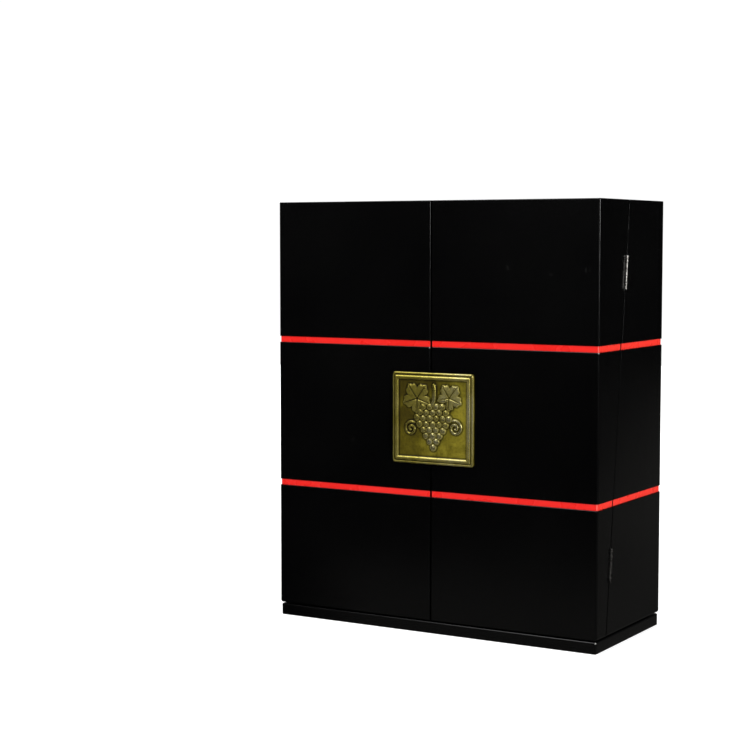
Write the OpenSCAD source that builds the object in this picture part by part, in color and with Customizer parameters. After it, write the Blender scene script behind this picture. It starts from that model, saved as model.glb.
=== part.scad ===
// Upright wine box for three bottles, with two wedge-shaped doors.
// Origin: centre of the plinth's underside. +Z up, the doors face -Y.

/* [Body] */
// Width of the body over the side boards
box_w = 284; // [266:1:320]
// Depth of the body from door face to back
box_d = 124; // [118:1:140]
// Height from the floor to the top
box_h = 340; // [332:1:380]
// Thickness of the boards
board_t = 9; // [8:0.5:10]
// Rounding of the upright and top edges
edge_r = 1.5; // [0.8:0.1:2.5]
// Rounding of the body's bottom edge
foot_r = 2; // [1:0.1:3]

/* [Doors] */
// Depth of a door's side at the foot of the body
seam_foot = 18.2; // [17:0.2:22]
// Depth of a door's side at the top
seam_head = 54.5; // [44:0.5:56]
// Gap between a door and the case
seam_gap = 0.8; // [0.6:0.1:1.2]
// Gap between the two doors
centre_gap = 1.2; // [0.8:0.1:1.6]

/* [Plinth] */
// Thickness of the plinth plate
plinth_t = 9.3; // [8:0.2:12]
// How far the plinth stands back from the body
plinth_inset = 0.7; // [0:0.1:2]
// Shadow gap between plinth and body
shadow_gap = 0.9; // [0.6:0.1:2]

/* [Bands] */
// Height of an inlaid band
band_h = 4.8; // [3:0.1:8]
// Middle of the lower band
band_low = 110.8; // [100:0.2:124]
// Middle of the upper band
band_high = 228.6; // [216:0.2:246]
// Depth of the band's groove
groove_d = 1.6; // [1.2:0.1:2]
// Thickness of the band in its groove
band_t = 0.8; // [0.4:0.1:1]

/* [Hinges] */
// Length of a hinge
hinge_l = 26; // [22:0.5:32]
// Diameter of the hinge barrel
barrel_d = 3; // [2.8:0.1:3.4]
// Diameter of the hinge pin
pin_d = 1.5; // [1.3:0.1:1.6]
// Height of the lower hinge's middle
hinge_low = 64.1; // [50:0.1:84]
// Height of the upper hinge's middle
hinge_high = 284.8; // [262:0.1:300]

/* [Badge] */
// Side of the square badge
badge_w = 72; // [64:1:80]
// Thickness of the badge over its bead
badge_t = 3.5; // [3:0.1:4.5]
// How far the badge sits to the right of the centre seam
badge_shift = 2.5; // [0:0.5:6]
// Height of the badge's middle
badge_z = 170.4; // [160:0.1:180]

/* [Bottles] */
// Diameter of a bottle seat
seat_d = 84; // [76:0.5:84]
// Width of a neck notch
neck_w = 34; // [30:1:38]
// Height of the neck rest's underside
rest_z = 268; // [240:1:272]
// Thickness of a divider
divider_t = 4; // [3:0.5:4]

/* [Hidden] */

lacquer = [0.03, 0.03, 0.035];
red = [0.86, 0.1, 0.08];
velour = [0.42, 0.05, 0.07];
nickel = [0.72, 0.72, 0.7];
brass = [0.5, 0.45, 0.25];
beech = [0.76, 0.6, 0.4];

hw = box_w/2;                 // half width
hd = box_d/2;                 // half depth
z0 = plinth_t + shadow_gap;   // underside of the body
in_x = hw - board_t;          // inner face of a side
in_f = -hd + board_t;         // inner face of a door's front panel
in_b = hd - board_t;          // inner face of the back board
bottom_t = 4;                 // bottom board
seat_t = board_t - 3;         // seat board
floor_z = z0 + bottom_t + seat_t;
ceil_z = box_h - board_t;
lining_t = 1.5;
tilt = atan((seam_head - seam_foot)/(box_h - z0));
axis_out = 0.3;               // hinge axis outside the side face
leaf_t = 0.9;
leaf_gap = 0.2;
leaf_w = board_t - 0.5;
fit_r = 0.05;                 // running clearance on the pin
bay_w = (2*in_x - 2*divider_t)/3;
bay_x = [-bay_w - divider_t, 0, bay_w + divider_t];
bottle_y = in_b - lining_t - seat_d/2 - 2.5;
dowel_r = 2;
far = 600;

// A rectangle from (0,0) to (a,b) with its own radius at each corner
module round_rect(a, b, r) {
  c = [[0, 0, 1, 1], [a, 0, -1, 1], [a, b, -1, -1], [0, b, 1, -1]];
  union() {
    difference() {
      square([a, b]);
      for (i = [0:3]) if (r[i] > 0)
        translate([c[i][0], c[i][1]]) square(2*r[i], center = true);
    }
    for (i = [0:3]) if (r[i] > 0)
      translate([c[i][0] + c[i][2]*r[i], c[i][1] + c[i][3]*r[i]]) circle(r = r[i], $fn = 48);
  }
}

// The body's outer shape, with every outer edge rounded
module envelope() {
  f = foot_r; e = edge_r;
  intersection() {
    translate([-hw, -hd, z0]) linear_extrude(box_h - z0) round_rect(box_w, box_d, [e, e, e, e]);
    translate([-hw, hd + 1, z0]) rotate([90, 0, 0]) linear_extrude(box_d + 2)
      round_rect(box_w, box_h - z0, [f, f, e, e]);
    translate([-hw - 1, -hd, z0]) rotate([90, 0, 90]) linear_extrude(box_w + 2)
      round_rect(box_d, box_h - z0, [f, f, e, e]);
  }
}

// Local axes on a side seam: Z runs up the slanted seam, Y points back, across it
module on_seam(x, z) {
  translate([x, seam_y(z), z]) rotate([-tilt, 0, 0]) children();
}
function seam_y(z) = -hd + seam_foot + (z - z0)*tan(tilt);

module before_seam() {
  on_seam(0, z0) translate([-far/2, -far - seam_gap/2, -far/2]) cube([far, far, 2*far]);
}
module behind_seam() {
  on_seam(0, z0) translate([-far/2, seam_gap/2, -far/2]) cube([far, far, 2*far]);
}

// Right-hand door's own plan, with a small round on its free edge
module door_plan() {
  translate([centre_gap/2, -hd, 0]) linear_extrude(box_h + 1) round_rect(hw, box_d, [0.8, 0, 0, 0]);
}

// A wrap of the body between two depths below its faces
module wrap(z, h, d0, d1) {
  translate([0, 0, z - h/2]) linear_extrude(h) difference() {
    translate([-hw + d0, -hd + d0]) round_rect(box_w - 2*d0, box_d - 2*d0, [1, 1, 1, 1]*max(0, edge_r - max(0, d0)));
    translate([-hw + d1, -hd + d1]) square([box_w - 2*d1, box_d - 2*d1]);
  }
}
module grooves() {
  for (z = [band_low, band_high]) wrap(z, band_h, -3, groove_d);
}
module band(z) { wrap(z, band_h, groove_d - band_t, groove_d); }

// Everything cut away for the two right-hand hinges, in both boards
module hinge_cuts() {
  for (z = [hinge_low, hinge_high]) on_seam(hw + axis_out, z) {
    cylinder(r = barrel_d/2 + 0.3, h = hinge_l + 0.8, center = true, $fn = 48);
    translate([-leaf_w - 0.1, -leaf_gap/2 - leaf_t - 0.03, -hinge_l/2 - 0.05])
      cube([leaf_w + 0.1, leaf_gap + 2*leaf_t + 0.06, hinge_l + 0.1]);
    for (s = [-1, 1]) translate([-leaf_w/2 - 0.9, 0, s*hinge_l*0.33])
      rotate([90, 0, 0]) cylinder(r = 0.85, h = 19, center = true, $fn = 32);
  }
}

// One leaf, drawn as the case's leaf; knuckles 0, 2 and 4 are the case's and 1 and 3 the door's
module leaf(door) {
  k = hinge_l/5;
  m = door ? -1 : 1;
  own = door ? [1, 3] : [0, 2, 4];
  difference() {
    union() {
      translate([-leaf_w, m > 0 ? leaf_gap/2 : -leaf_gap/2 - leaf_t, -hinge_l/2])
        cube([leaf_w - barrel_d/2 - 0.35, leaf_t, hinge_l]);
      for (i = own) translate([0, 0, -hinge_l/2 + i*k + 0.08]) {
        cylinder(r = barrel_d/2, h = k - 0.16, $fn = 48);
        translate([-barrel_d/2 - 0.5, m > 0 ? leaf_gap/2 : -leaf_gap/2 - leaf_t, 0])
          cube([barrel_d/2 + 0.5, leaf_t, k - 0.16]);
      }
    }
    cylinder(r = pin_d/2 + (door ? fit_r : 0.02), h = hinge_l + 2, center = true, $fn = 48);
    for (s = [-1, 1]) translate([-leaf_w/2 - 0.9, 0, s*hinge_l*0.33]) rotate([m > 0 ? -90 : 90, 0, 0]) {
      translate([0, 0, -0.5]) cylinder(r = 0.88, h = 3, $fn = 32);
      translate([0, 0, leaf_gap/2 - 0.01]) cylinder(r1 = 1.7, r2 = 0.88, h = leaf_t - 0.05, $fn = 32);
    }
  }
}
module hinge_pin() { cylinder(r = pin_d/2, h = hinge_l - 0.2, center = true, $fn = 48); }
module hinge_screw(door) {
  for (s = [-1, 1]) translate([-leaf_w/2 - 0.9, 0, s*hinge_l*0.33]) rotate([door ? 90 : -90, 0, 0]) {
    translate([0, 0, leaf_gap/2 + 0.06]) cylinder(r1 = 1.6, r2 = 0.8, h = leaf_t - 0.12, $fn = 32);
    translate([0, 0, leaf_gap/2 + 0.06]) cylinder(r = 0.8, h = 8.8, $fn = 32);
  }
}
module right_hinges() {
  for (z = [hinge_low, hinge_high]) on_seam(hw + axis_out, z) children();
}

module on_left() { mirror([1, 0, 0]) children(); }

// A dowel or its hole along X or Y
module dowel_x(x, y, z, l, g) { translate([x, y, z]) rotate([0, 90, 0]) cylinder(r = dowel_r + g, h = l + 4*g, center = true, $fn = 32); }
module dowel_y(x, y, z, l, g) { translate([x, y, z]) rotate([90, 0, 0]) cylinder(r = dowel_r + g, h = l + 4*g, center = true, $fn = 32); }

// Dowels of the right half of the case
module case_dowel_half(g) {
  for (y = [seam_y(box_h) + 14, in_b - 12]) dowel_x(in_x, y, box_h - board_t/2, 12, g);
  for (y = [-20, in_b - 12]) dowel_x(in_x, y, z0 + bottom_t + seat_t/2, 12, g);
  for (z = [80, 170, 250]) dowel_x(in_x, hd - board_t/2, z, 12, g);
}
// Dowels of the right door
module door_dowels(g) {
  for (x = [34, in_x - 28]) {
    dowel_y(x, in_f + 0.5, box_h - board_t/2, 11, g);
    dowel_y(x, in_f - 0.5, z0 + board_t/2, 11, g);
  }
  dowel_x(in_x, in_f + 16, box_h - board_t/2, 12, g);
}

// Magnets on both sides of the seam, right half
module magnet(door, g) {
  for (z = [z0 + bottom_t + seat_t/2, box_h - board_t/2]) on_seam(12, z)
    rotate([door ? 90 : -90, 0, 0]) translate([0, 0, seam_gap/2 + 0.05 - g]) cylinder(r = 2 + g, h = 2 + 2*g, $fn = 32);
}

module badge_screw_at() {
  for (s = [-1, 1]) translate([badge_shift + badge_w*0.3, in_f, badge_z + s*badge_w*0.3]) rotate([90, 0, 0]) children();
}

// ---- plinth ----
module plinth() {
  color(lacquer) {
    a = box_w - 2*plinth_inset; b = box_d - 2*plinth_inset;
    difference() {
      intersection() {
        translate([-a/2, -b/2, 0]) linear_extrude(plinth_t) round_rect(a, b, [1.5, 1.5, 1.5, 1.5]);
        translate([-a/2, b/2 + 1, 0]) rotate([90, 0, 0]) linear_extrude(b + 2) round_rect(a, plinth_t, [0.5, 0.5, 1.2, 1.2]);
        translate([-a/2 - 1, -b/2, 0]) rotate([90, 0, 90]) linear_extrude(a + 2) round_rect(b, plinth_t, [0.5, 0.5, 1.2, 1.2]);
      }
      plinth_screw_at() {
        translate([0, 0, -1]) cylinder(r = 1.8, h = 20, $fn = 32);
        translate([0, 0, -1]) cylinder(r = 3.6, h = 3, $fn = 32);
        translate([0, 0, 1.99]) cylinder(r1 = 3.6, r2 = 1.8, h = 2, $fn = 32);
      }
    }
  }
}
module plinth_screw_at() {
  for (x = [-hw + 30, 0, hw - 30], y = [-24, in_b - 14]) translate([x, y, 0]) children();
}
module plinth_spacer() {
  color(lacquer) difference() {
    translate([-hw + 6, seam_y(z0) + 4, plinth_t]) linear_extrude(shadow_gap)
      round_rect(box_w - 12, hd - 6 - seam_y(z0) - 4, [2, 2, 2, 2]);
    plinth_screw_at() cylinder(r = 1.8, h = 40, $fn = 32);
  }
}
module plinth_screws() {
  color(nickel) plinth_screw_at() {
    translate([0, 0, 2.05]) cylinder(r1 = 3.5, r2 = 1.7, h = 1.85, $fn = 32);
    translate([0, 0, 2.05]) cylinder(r = 1.7, h = z0 + 2.6 - 2.05, $fn = 32);
  }
}

// ---- case ----
module bottom_board() {
  color(lacquer) difference() {
    intersection() {
      envelope(); behind_seam();
      translate([-in_x, -hd, z0]) cube([2*in_x, hd + in_b, bottom_t]);
    }
    plinth_screw_at() cylinder(r = 1.74, h = z0 + 2.9, $fn = 32);
  }
}
module seat_board() {
  color(lacquer) difference() {
    intersection() {
      translate([-in_x, -hd, z0 + bottom_t]) cube([2*in_x, hd + in_b, seat_t]);
      behind_seam();
    }
    for (x = bay_x) translate([x, bottle_y, 0]) cylinder(r = seat_d/2, h = 60, $fn = 96);
    divider_slots(floor_z - 2);
    for (s = [0, 1]) mirror([s, 0, 0]) { case_dowel_half(0.03); magnet(false, 0.03); }
  }
}
module divider_slots(z) {
  for (s = [-1, 1]) translate([s*(bay_w + divider_t)/2 - divider_t/2, -hd, z]) cube([divider_t, hd + in_b - lining_t, 2]);
}
module back_board() {
  color(lacquer) difference() {
    intersection() {
      envelope();
      translate([-in_x, in_b, z0]) cube([2*in_x, board_t + 1, box_h - z0]);
    }
    grooves();
    for (s = [0, 1]) mirror([s, 0, 0]) case_dowel_half(0.03);
  }
}
module side_board() {
  difference() {
    intersection() {
      envelope(); behind_seam();
      translate([in_x, -hd, z0]) cube([board_t + 1, box_d, box_h - z0]);
    }
    grooves();
    hinge_cuts();
    case_dowel_half(0.03);
    translate([in_x - 1, seam_y(rest_z) + 4, rest_z]) cube([3, in_b - lining_t - seam_y(rest_z) - 4, 8]);
  }
}
module right_side_board() { color(lacquer) side_board(); }
module left_side_board() { color(lacquer) on_left() side_board(); }
module top_board() {
  color(lacquer) difference() {
    intersection() {
      envelope(); behind_seam();
      translate([-in_x, -hd, ceil_z]) cube([2*in_x, hd + in_b, board_t]);
    }
    for (s = [0, 1]) mirror([s, 0, 0]) { case_dowel_half(0.03); magnet(false, 0.03); }
  }
}
module divider(s) {
  // Front edge follows the slant of the seam, 9 mm behind it
  translate([s*(bay_w + divider_t)/2 + divider_t/2, 0, 0]) rotate([0, -90, 0]) linear_extrude(divider_t)
    polygon([[floor_z - 2, seam_y(floor_z) + 9], [rest_z + 2, seam_y(rest_z) + 9],
             [rest_z + 2, in_b - lining_t], [floor_z - 2, in_b - lining_t]]);
}
module left_divider() { color(velour) divider(-1); }
module right_divider() { color(velour) divider(1); }
module neck_rest() {
  y0 = seam_y(rest_z) + 4;
  color(velour) difference() {
    translate([-in_x - 2, y0, rest_z]) cube([2*in_x + 4, in_b - lining_t - y0, 8]);
    for (x = bay_x) translate([x, 0, rest_z - 1]) {
      translate([0, bottle_y, 0]) cylinder(r = neck_w/2, h = 12, $fn = 64);
      translate([-neck_w/2, -hd, 0]) cube([neck_w, hd + bottle_y, 12]);
    }
    for (s = [-1, 1]) translate([s*(bay_w + divider_t)/2 - divider_t/2, y0 - 1, rest_z - 1]) cube([divider_t, box_d, 3]);
  }
}
module back_lining() {
  color(velour) translate([-in_x + 0.5, in_b - lining_t, floor_z + 0.3]) cube([2*in_x - 1, lining_t, ceil_z - floor_z - 0.6]);
}
module seat_pads() {
  color(velour) for (x = bay_x) translate([x, bottle_y, z0 + bottom_t]) cylinder(r = seat_d/2 - 0.3, h = 0.8, $fn = 96);
}
module case_dowels() {
  color(beech) for (s = [0, 1]) mirror([s, 0, 0]) case_dowel_half(0);
}
module case_magnets() { color(nickel) for (s = [0, 1]) mirror([s, 0, 0]) magnet(false, 0); }
module case_upper_band() { color(red) intersection() { band(band_high); behind_seam(); } }
module case_lower_band() { color(red) intersection() { band(band_low); behind_seam(); } }

// ---- hinges ----
module right_upper_case_leaf() { color(nickel) on_seam(hw + axis_out, hinge_high) leaf(false); }
module right_lower_case_leaf() { color(nickel) on_seam(hw + axis_out, hinge_low) leaf(false); }
module left_upper_case_leaf() { color(nickel) on_left() on_seam(hw + axis_out, hinge_high) leaf(false); }
module left_lower_case_leaf() { color(nickel) on_left() on_seam(hw + axis_out, hinge_low) leaf(false); }
module right_upper_door_leaf() { color(nickel) on_seam(hw + axis_out, hinge_high) leaf(true); }
module right_lower_door_leaf() { color(nickel) on_seam(hw + axis_out, hinge_low) leaf(true); }
module left_upper_door_leaf() { color(nickel) on_left() on_seam(hw + axis_out, hinge_high) leaf(true); }
module left_lower_door_leaf() { color(nickel) on_left() on_seam(hw + axis_out, hinge_low) leaf(true); }
module hinge_pins() { color(nickel) for (s = [0, 1]) mirror([s, 0, 0]) right_hinges() hinge_pin(); }
module case_hinge_screws() { color(nickel) for (s = [0, 1]) mirror([s, 0, 0]) right_hinges() hinge_screw(false); }
module right_hinge_screws() { color(nickel) right_hinges() hinge_screw(true); }
module left_hinge_screws() { color(nickel) on_left() right_hinges() hinge_screw(true); }

// ---- doors, drawn as the right one ----
module front_panel() {
  difference() {
    intersection() {
      envelope(); door_plan();
      // Mitred where it meets the cheek
      translate([0, 0, z0]) linear_extrude(box_h - z0)
        polygon([[0, -hd - 1], [hw + 1, -hd - 1], [in_x, in_f], [0, in_f]]);
    }
    grooves();
    door_dowels(0.03);
  }
}
module cheek() {
  difference() {
    intersection() {
      envelope(); before_seam();
      translate([0, 0, z0]) linear_extrude(box_h - z0)
        polygon([[hw + 1, -hd - 1], [hw + 1, hd], [in_x, hd], [in_x, in_f]]);
    }
    grooves();
    hinge_cuts();
    door_dowels(0.03);
  }
}
module rail(z, h) {
  difference() {
    intersection() {
      envelope(); before_seam(); door_plan();
      translate([0, in_f, z]) cube([in_x, box_d, h]);
    }
    door_dowels(0.03);
    magnet(true, 0.03);
  }
}
module door_lining() {
  translate([centre_gap/2 + 2.5, in_f, floor_z + 1.5]) cube([in_x - centre_gap/2 - 4, lining_t, ceil_z - floor_z - 3]);
}
module door_band(z) { intersection() { band(z); before_seam(); door_plan(); } }

module right_front_panel() {
  color(lacquer) difference() {
    front_panel();
    badge_screw_at() {
      translate([0, 0, -1]) cylinder(r = 1.3, h = 30, $fn = 32);
      translate([0, 0, -0.01]) cylinder(r1 = 2.5, r2 = 1.3, h = 1.5, $fn = 32);
    }
  }
}
module left_front_panel() { color(lacquer) on_left() front_panel(); }
module right_cheek() { color(lacquer) cheek(); }
module left_cheek() { color(lacquer) on_left() cheek(); }
module right_top_rail() { color(lacquer) rail(ceil_z, board_t); }
module left_top_rail() { color(lacquer) on_left() rail(ceil_z, board_t); }
module right_bottom_rail() { color(lacquer) rail(z0, floor_z - z0); }
module left_bottom_rail() { color(lacquer) on_left() rail(z0, floor_z - z0); }
module right_door_lining() { color(velour) door_lining(); }
module left_door_lining() { color(velour) on_left() door_lining(); }
module right_door_dowels() { color(beech) door_dowels(0); }
module left_door_dowels() { color(beech) on_left() door_dowels(0); }
module right_door_magnets() { color(nickel) magnet(true, 0); }
module left_door_magnets() { color(nickel) on_left() magnet(true, 0); }
module right_upper_band() { color(red) door_band(band_high); }
module left_upper_band() { color(red) on_left() door_band(band_high); }
module right_lower_band() { color(red) door_band(band_low); }
module left_lower_band() { color(red) on_left() door_band(band_low); }

// ---- badge ----
// A square plate of side a and rounded corners, from the back plane out to t
module badge_step(a, r, t0, t1) {
  translate([-a/2, -t0, -a/2]) rotate([90, 0, 0]) linear_extrude(t1 - t0) round_rect(a, a, [r, r, r, r]);
}
module badge() {
  field = badge_w - 13;
  color(brass) translate([badge_shift, -hd, badge_z]) difference() {
    union() {
      badge_step(badge_w, 2, 0, 2);
      difference() { badge_step(badge_w, 2, 1.9, badge_t - 0.9); badge_step(badge_w - 2.4, 1.5, 1.8, badge_t); }
      // Bead round the field
      for (q = [0:3]) rotate([0, 90*q, 0]) {
        translate([0, -badge_t + 1.5, badge_w/2 - 3.4]) rotate([0, 90, 0]) cylinder(r = 1.5, h = badge_w - 6.8, center = true, $fn = 32);
        translate([badge_w/2 - 3.4, -badge_t + 1.5, badge_w/2 - 3.4]) sphere(r = 1.5, $fn = 32);
      }
      // Bunch of grapes: rows of five, four, three, two and one
      for (row = [0:4], i = [0:4 - row])
        translate([(i - (4 - row)/2)*6.4, 0.9, 2 - row*5.6]) sphere(r = 4.1, $fn = 32);
      // Leaf over the bunch, in three lobes
      for (s = [-1, 1]) translate([s*8, -1.9, 11.5]) rotate([90, 0, 0]) cylinder(r = 6, h = 0.7, $fn = 48);
      translate([0, -1.9, 15.5]) rotate([90, 0, 0]) cylinder(r = 6, h = 0.7, $fn = 48);
    }
    // The back is relieved where it laps over the other door
    translate([-badge_w - badge_shift + 0.3, -0.3, -badge_w]) cube([badge_w, 2, 2*badge_w]);
    translate([-badge_w, 0, -badge_w]) cube([2*badge_w, 30, 2*badge_w]);
    // Blind holes for its screws
    for (s = [-1, 1]) translate([badge_w*0.3, 1, s*badge_w*0.3]) rotate([90, 0, 0]) cylinder(r = 1.3, h = 2.5, $fn = 32);
  }
}
module badge_screws() {
  color(nickel) badge_screw_at() {
    cylinder(r1 = 2.35, r2 = 1.22, h = 1.4, $fn = 32);
    cylinder(r = 1.22, h = board_t + 1.3, $fn = 32);
  }
}

plinth();
plinth_spacer();
plinth_screws();
bottom_board();
seat_board();
back_board();
left_side_board();
right_side_board();
top_board();
left_divider();
right_divider();
neck_rest();
back_lining();
seat_pads();
case_dowels();
case_magnets();
case_upper_band();
case_lower_band();
left_upper_case_leaf();
left_lower_case_leaf();
right_upper_case_leaf();
right_lower_case_leaf();
hinge_pins();
case_hinge_screws();
left_front_panel();
left_cheek();
left_top_rail();
left_bottom_rail();
left_door_lining();
left_door_dowels();
left_door_magnets();
left_upper_band();
left_lower_band();
left_upper_door_leaf();
left_lower_door_leaf();
left_hinge_screws();
right_front_panel();
right_cheek();
right_top_rail();
right_bottom_rail();
right_door_lining();
right_door_dowels();
right_door_magnets();
right_upper_band();
right_lower_band();
right_upper_door_leaf();
right_lower_door_leaf();
right_hinge_screws();
badge();
badge_screws();
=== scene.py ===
import math
import random

import bmesh
import bpy
from mathutils import Matrix, Vector, noise


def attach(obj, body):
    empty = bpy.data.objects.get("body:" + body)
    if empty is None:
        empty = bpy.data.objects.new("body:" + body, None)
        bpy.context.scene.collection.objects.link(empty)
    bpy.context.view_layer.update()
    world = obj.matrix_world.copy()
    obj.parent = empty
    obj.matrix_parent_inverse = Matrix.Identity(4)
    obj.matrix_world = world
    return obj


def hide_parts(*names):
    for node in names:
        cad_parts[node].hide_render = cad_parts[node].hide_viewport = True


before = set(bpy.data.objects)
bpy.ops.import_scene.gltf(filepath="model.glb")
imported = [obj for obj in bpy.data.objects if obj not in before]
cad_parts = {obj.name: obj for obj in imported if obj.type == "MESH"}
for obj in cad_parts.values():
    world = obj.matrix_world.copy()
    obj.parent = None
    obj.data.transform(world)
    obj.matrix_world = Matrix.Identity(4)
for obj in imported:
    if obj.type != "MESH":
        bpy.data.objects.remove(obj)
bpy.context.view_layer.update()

# ---------------------------------------------------------------- dimensions, mm, as in the CAD
HW, HD, H = 142.0, 62.0, 340.0
T = 9.0
Z0 = 10.2
PLINTH_T = 9.3
IN_X, IN_F, IN_B = HW - T, -HD + T, HD - T
FLOOR_Z, CEIL_Z = 20.2, H - T
SEAM_FOOT, SEAM_HEAD = 18.2, 54.5
TAN = (SEAM_HEAD - SEAM_FOOT) / (H - Z0)
TILT = math.atan(TAN)
COS, SIN = math.cos(TILT), math.sin(TILT)
GAP = 0.8
CENTRE = 1.2
EDGE_R, FOOT_R = 1.5, 2.0
TOP_R = 0.6                # the top arris is sanded less than the corners
GROOVE_D, BAND_T, BAND_H = 1.6, 0.8, 4.8
BANDS = (110.8, 228.6)
HINGES = (64.1, 284.8)
HINGE_L, BARREL_R, PIN_R, AXIS_OUT = 26.0, 1.5, 0.75, 0.3
LEAF_T, LEAF_GAP, LEAF_W = 0.9, 0.2, 8.5
BADGE_W, BADGE_X, BADGE_Z = 72.0, 2.5, 170.4
LIN = 1.5
BAY_W, DIV_T = 86.0, 4.0
BAYS = (-90.0, 0.0, 90.0)
DIVS = (-45.0, 45.0)
BOTTLE_Y = IN_B - LIN - 42.0 - 2.5
REST_Z = 268.0
MM = 0.001


def seam_y(z):
    return -HD + SEAM_FOOT + (z - Z0) * TAN


# ---------------------------------------------------------------- mesh helpers
def finish_mesh(name, bm, body, nodes=(), mat=None, angle=32, weighted=True, mirror=False, recalc=True):
    """A bmesh in millimetres becomes a piece that rides on a body."""
    if mirror:
        for v in bm.verts:
            v.co.x = -v.co.x
    for v in bm.verts:
        v.co *= MM
    bmesh.ops.remove_doubles(bm, verts=bm.verts, dist=1e-7)
    bmesh.ops.dissolve_degenerate(bm, dist=1e-7, edges=bm.edges)
    if recalc:
        bmesh.ops.recalc_face_normals(bm, faces=bm.faces)
    me = bpy.data.meshes.new(name)
    bm.to_mesh(me)
    bm.free()
    for p in me.polygons:
        p.use_smooth = True
    me.set_sharp_from_angle(angle=math.radians(angle))
    ob = bpy.data.objects.new(name, me)
    bpy.context.scene.collection.objects.link(ob)
    if weighted:
        w = ob.modifiers.new("normals", "WEIGHTED_NORMAL")
        w.keep_sharp = True
        w.weight = 60
    if mat:
        me.materials.append(mat)
    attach(ob, body)
    if nodes:
        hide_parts(*nodes)
    return ob


def tower(bm, rings, cap=True):
    """Closed rings of the same length, stacked and capped."""
    rows = [[bm.verts.new(p) for p in r] for r in rings]
    n = len(rows[0])
    for a, b in zip(rows, rows[1:]):
        for i in range(n):
            j = (i + 1) % n
            bm.faces.new((a[i], a[j], b[j], b[i]))
    if cap:
        bm.faces.new(rows[0][::-1])
        bm.faces.new(rows[-1])
    return rows


def arc(cx, cy, r, a0, a1, n):
    return [(cx + r * math.cos(math.radians(a0 + (a1 - a0) * i / n)),
             cy + r * math.sin(math.radians(a0 + (a1 - a0) * i / n))) for i in range(n + 1)]


def edge_in(r, t):
    """How far a rounded edge of radius r stands in, at a distance t from the end."""
    return 0.0 if t >= r else r - math.sqrt(max(0.0, r * r - (r - t) ** 2))


LIP = 0.35


def body_rows():
    """(z, inset of the outer faces, inset of the end faces, in a hinge's recess) from foot to top."""
    rows = []
    for i in range(7):
        a = math.radians(90 * i / 6)
        z = FOOT_R * (1 - math.cos(a))
        rows.append((Z0 + z, FOOT_R * (1 - math.sin(a)), edge_in(0.5, z), False))

    def hinge(zc):
        h = (HINGE_L / 2 + 0.4) * COS
        rows.extend([(zc - h, 0, 0, False), (zc - h, 0, 0, True), (zc + h, 0, 0, True), (zc + h, 0, 0, False)])

    def groove(zc):
        lo, hi = zc - BAND_H / 2, zc + BAND_H / 2
        for i in range(5):
            a = math.radians(90 * i / 4)
            rows.append((lo - LIP + LIP * math.sin(a), LIP * (1 - math.cos(a)), 0, False))
        rows.append((lo, GROOVE_D, 0, False))
        rows.append((hi, GROOVE_D, 0, False))
        for i in range(5):
            a = math.radians(90 - 90 * i / 4)
            rows.append((hi + LIP - LIP * math.sin(a), LIP * (1 - math.cos(a)), 0, False))

    hinge(HINGES[0])
    groove(BANDS[0])
    groove(BANDS[1])
    hinge(HINGES[1])
    for i in range(7):
        a = math.radians(90 - 90 * i / 6)
        z = TOP_R * (1 - math.cos(a))
        rows.append((H - z, TOP_R * (1 - math.sin(a)), edge_in(0.5, z), False))
    return rows


def seam_corner(xo, ys, ya, side, notch):
    """The corner of a side board at the seam: rounded, or hollowed for the hinge barrel. side -1 is the door's, +1 the case's. From the outer face to the seam face."""
    n = 6
    if not notch:
        r = 0.8 if side < 0 else 0.09
        cx, cy = xo - r, ys + side * r
        pts = [(cx + r * math.sin(math.radians(90 - 90 * i / n)), cy - side * r * math.cos(math.radians(90 - 90 * i / n))) for i in range(n + 1)]
        return pts
    R = BARREL_R + 0.3
    cx = HW + AXIS_OUT
    g = GAP / 2 / COS
    a0 = math.asin(AXIS_OUT / R)
    a1 = math.acos(g / R)
    return [(cx - R * math.sin(a0 + (a1 - a0) * i / n), ya + side * R * math.cos(a0 + (a1 - a0) * i / n)) for i in range(n + 1)]


def door_ring(z, d, e, notch):
    xf, rf = CENTRE / 2 + e, 0.8
    yf = -HD + d
    rc = max(EDGE_R - d, 0.08)
    xo = HW - d
    ys = seam_y(z) - GAP / 2 / COS - e
    pts = [(xf, IN_F)]
    pts += arc(xf + rf, yf + rf, rf, 180, 270, 5)
    pts += arc(xo - rc, yf + rc, rc, 270, 360, 6)
    pts += seam_corner(xo, ys, seam_y(z), -1, notch)
    pts += [(IN_X, ys), (IN_X, IN_F)]
    return [(x, y, z) for x, y in pts]


def case_ring(z, d, e, notch):
    xo, yo = HW - d, HD - d
    rc = max(EDGE_R - d, 0.08)
    ys = seam_y(z) + GAP / 2 / COS + e
    half = [(IN_X, ys)]
    half += seam_corner(xo, ys, seam_y(z), 1, notch)[::-1]
    half += arc(xo - rc, yo - rc, rc, 0, 90, 6)
    pts = half + [(-x, y) for x, y in half[::-1]] + [(-IN_X, IN_B), (IN_X, IN_B)]
    return [(x, y, z) for x, y in pts]


def prism_x(bm, profile, x0, x1):
    """A closed yz outline, extruded along X."""
    a = [bm.verts.new((x0, y, z)) for y, z in profile]
    b = [bm.verts.new((x1, y, z)) for y, z in profile]
    n = len(profile)
    for i in range(n):
        j = (i + 1) % n
        bm.faces.new((a[i], a[j], b[j], b[i]))
    bm.faces.new(a[::-1])
    bm.faces.new(b)
    return a, b


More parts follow.
